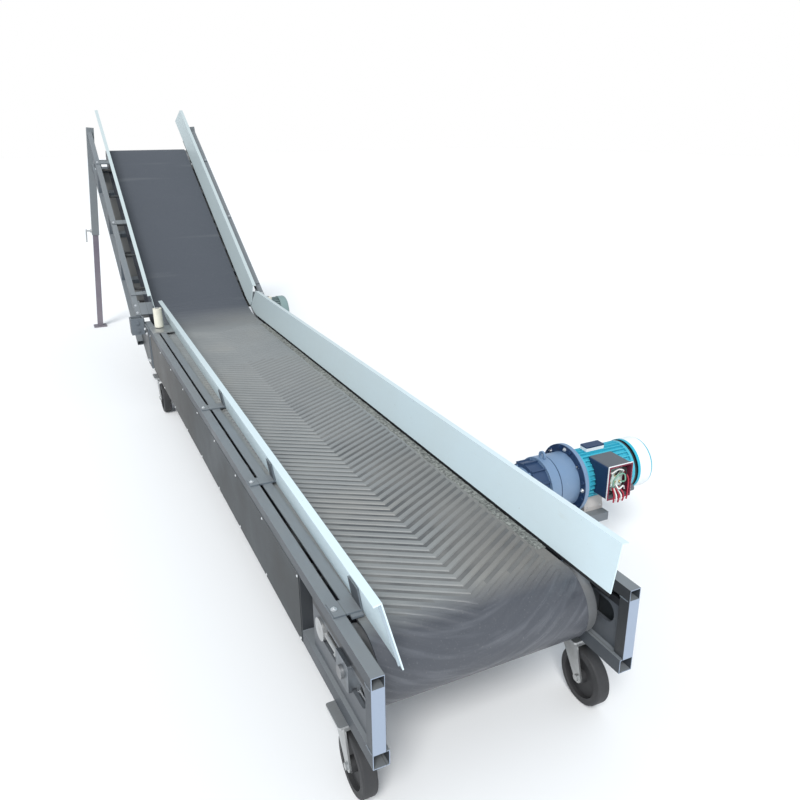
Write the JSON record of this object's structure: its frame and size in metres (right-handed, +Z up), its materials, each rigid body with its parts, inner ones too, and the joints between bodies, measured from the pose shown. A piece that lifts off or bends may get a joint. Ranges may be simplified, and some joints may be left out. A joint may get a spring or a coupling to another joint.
{
  "type": "mobile belt conveyor",
  "caption": "Low belt conveyor with a flat feed run and a rising discharge run, side guards, gearmotor drive, splayed slide-in legs and swivel casters.",
  "frame": {"origin": "middle of the whole machine's footprint, on the floor", "axes": "+X to the right seen from the feed end, +Y from the feed end to the discharge end, +Z up"},
  "size_m": [1.9656, 6.5794, 2.0276],
  "materials": {
    "frame_paint": "satin blue-grey paint",
    "panel_paint": "matt dusty grey paint",
    "guard_paint": "satin pale blue paint",
    "belt_rubber": "worn matt rubber",
    "drum_steel": "satin",
    "roller_steel": "satin",
    "zinc": "zinc plated",
    "nylon": "matt",
    "reducer_paint": "satin blue-grey paint",
    "motor_paint": "satin teal paint",
    "cowl_paint": "satin white paint",
    "leg_paint": "satin grey paint",
    "caster_rubber": "matt"
  },
  "bodies": {
    "conveyor": {"side_frame_left": "frame_paint", "side_frame_right": "frame_paint", "cross_members": "frame_paint", "side_panel_left": "panel_paint", "side_panel_right": "panel_paint", "slope_frame_left": "frame_paint", "slope_frame_right": "frame_paint", "slope_cross_members": "frame_paint", "bend_plates": "frame_paint", "belt": "belt_rubber", "tail_drum": "drum_steel", "head_drum": "drum_steel", "drive_drum": "drum_steel", "turn_drum": "drum_steel", "snub_rollers": "roller_steel", "drive_plates": "frame_paint", "head_bearings": "frame_paint", "carrying_idlers": "roller_steel", "return_idlers": "roller_steel", "guard_left": "guard_paint", "guard_right": "guard_paint", "slope_guard_left": "guard_paint", "slope_guard_right": "guard_paint", "guard_brackets": "frame_paint", "guide_rollers": "nylon", "guide_plates": "zinc", "takeup_plates": "frame_paint", "takeup_blocks": "zinc", "takeup_screws": "zinc", "reducer": "reducer_paint", "motor": "motor_paint", "motor_cowl": "cowl_paint", "terminal_box": "motor_paint", "motor_shelf": "frame_paint", "terminal_block": "nylon", "bend_sockets": "frame_paint", "leg_clamp_left": "zinc", "leg_clamp_right": "zinc", "leg_outer_left": "frame_paint", "leg_outer_right": "frame_paint", "bend_reducer": "reducer_paint", "bend_motor": "motor_paint", "bend_cowl": "cowl_paint", "caster_plates": "zinc"},
    "leg_left": {"leg_inner_left": "leg_paint"},
    "leg_right": {"leg_inner_right": "leg_paint"},
    "fork_near_left": {"caster_fork_near_left": "zinc"},
    "wheel_near_left": {"caster_wheel_near_left": "caster_rubber"},
    "fork_near_right": {"caster_fork_near_right": "zinc"},
    "wheel_near_right": {"caster_wheel_near_right": "caster_rubber"},
    "fork_far_left": {"caster_fork_far_left": "zinc"},
    "wheel_far_left": {"caster_wheel_far_left": "caster_rubber"},
    "fork_far_right": {"caster_fork_far_right": "zinc"},
    "wheel_far_right": {"caster_wheel_far_right": "caster_rubber"}
  },
  "joints": [
    {"name": "leg_left_slide", "type": "slide", "parent": "conveyor", "child": "leg_left", "axis": [0.0906, 0, 0.9959], "range_m": [0, 0.3]},
    {"name": "leg_right_slide", "type": "slide", "parent": "conveyor", "child": "leg_right", "axis": [-0.0906, 0, 0.9959], "range_m": [0, 0.3]},
    {"name": "swivel_near_left", "type": "hinge", "parent": "conveyor", "child": "fork_near_left", "pos_m": [-0.7072, -3.05966, 0.2], "axis": [0, 0, 1], "continuous": true},
    {"name": "roll_near_left", "type": "hinge", "parent": "fork_near_left", "child": "wheel_near_left", "pos_m": [-0.7072, -3.11466, 0.1], "axis": [1, 0, 0], "continuous": true},
    {"name": "swivel_near_right", "type": "hinge", "parent": "conveyor", "child": "fork_near_right", "pos_m": [0.1228, -3.05966, 0.2], "axis": [0, 0, 1], "continuous": true},
    {"name": "roll_near_right", "type": "hinge", "parent": "fork_near_right", "child": "wheel_near_right", "pos_m": [0.1228, -3.11466, 0.1], "axis": [1, 0, 0], "continuous": true},
    {"name": "swivel_far_left", "type": "hinge", "parent": "conveyor", "child": "fork_far_left", "pos_m": [-0.7072, 0.43034, 0.2], "axis": [0, 0, 1], "continuous": true},
    {"name": "roll_far_left", "type": "hinge", "parent": "fork_far_left", "child": "wheel_far_left", "pos_m": [-0.7072, 0.37534, 0.1], "axis": [1, 0, 0], "continuous": true},
    {"name": "swivel_far_right", "type": "hinge", "parent": "conveyor", "child": "fork_far_right", "pos_m": [0.1228, 0.43034, 0.2], "axis": [0, 0, 1], "continuous": true},
    {"name": "roll_far_right", "type": "hinge", "parent": "fork_far_right", "child": "wheel_far_right", "pos_m": [0.1228, 0.37534, 0.1], "axis": [1, 0, 0], "continuous": true}
  ]
}
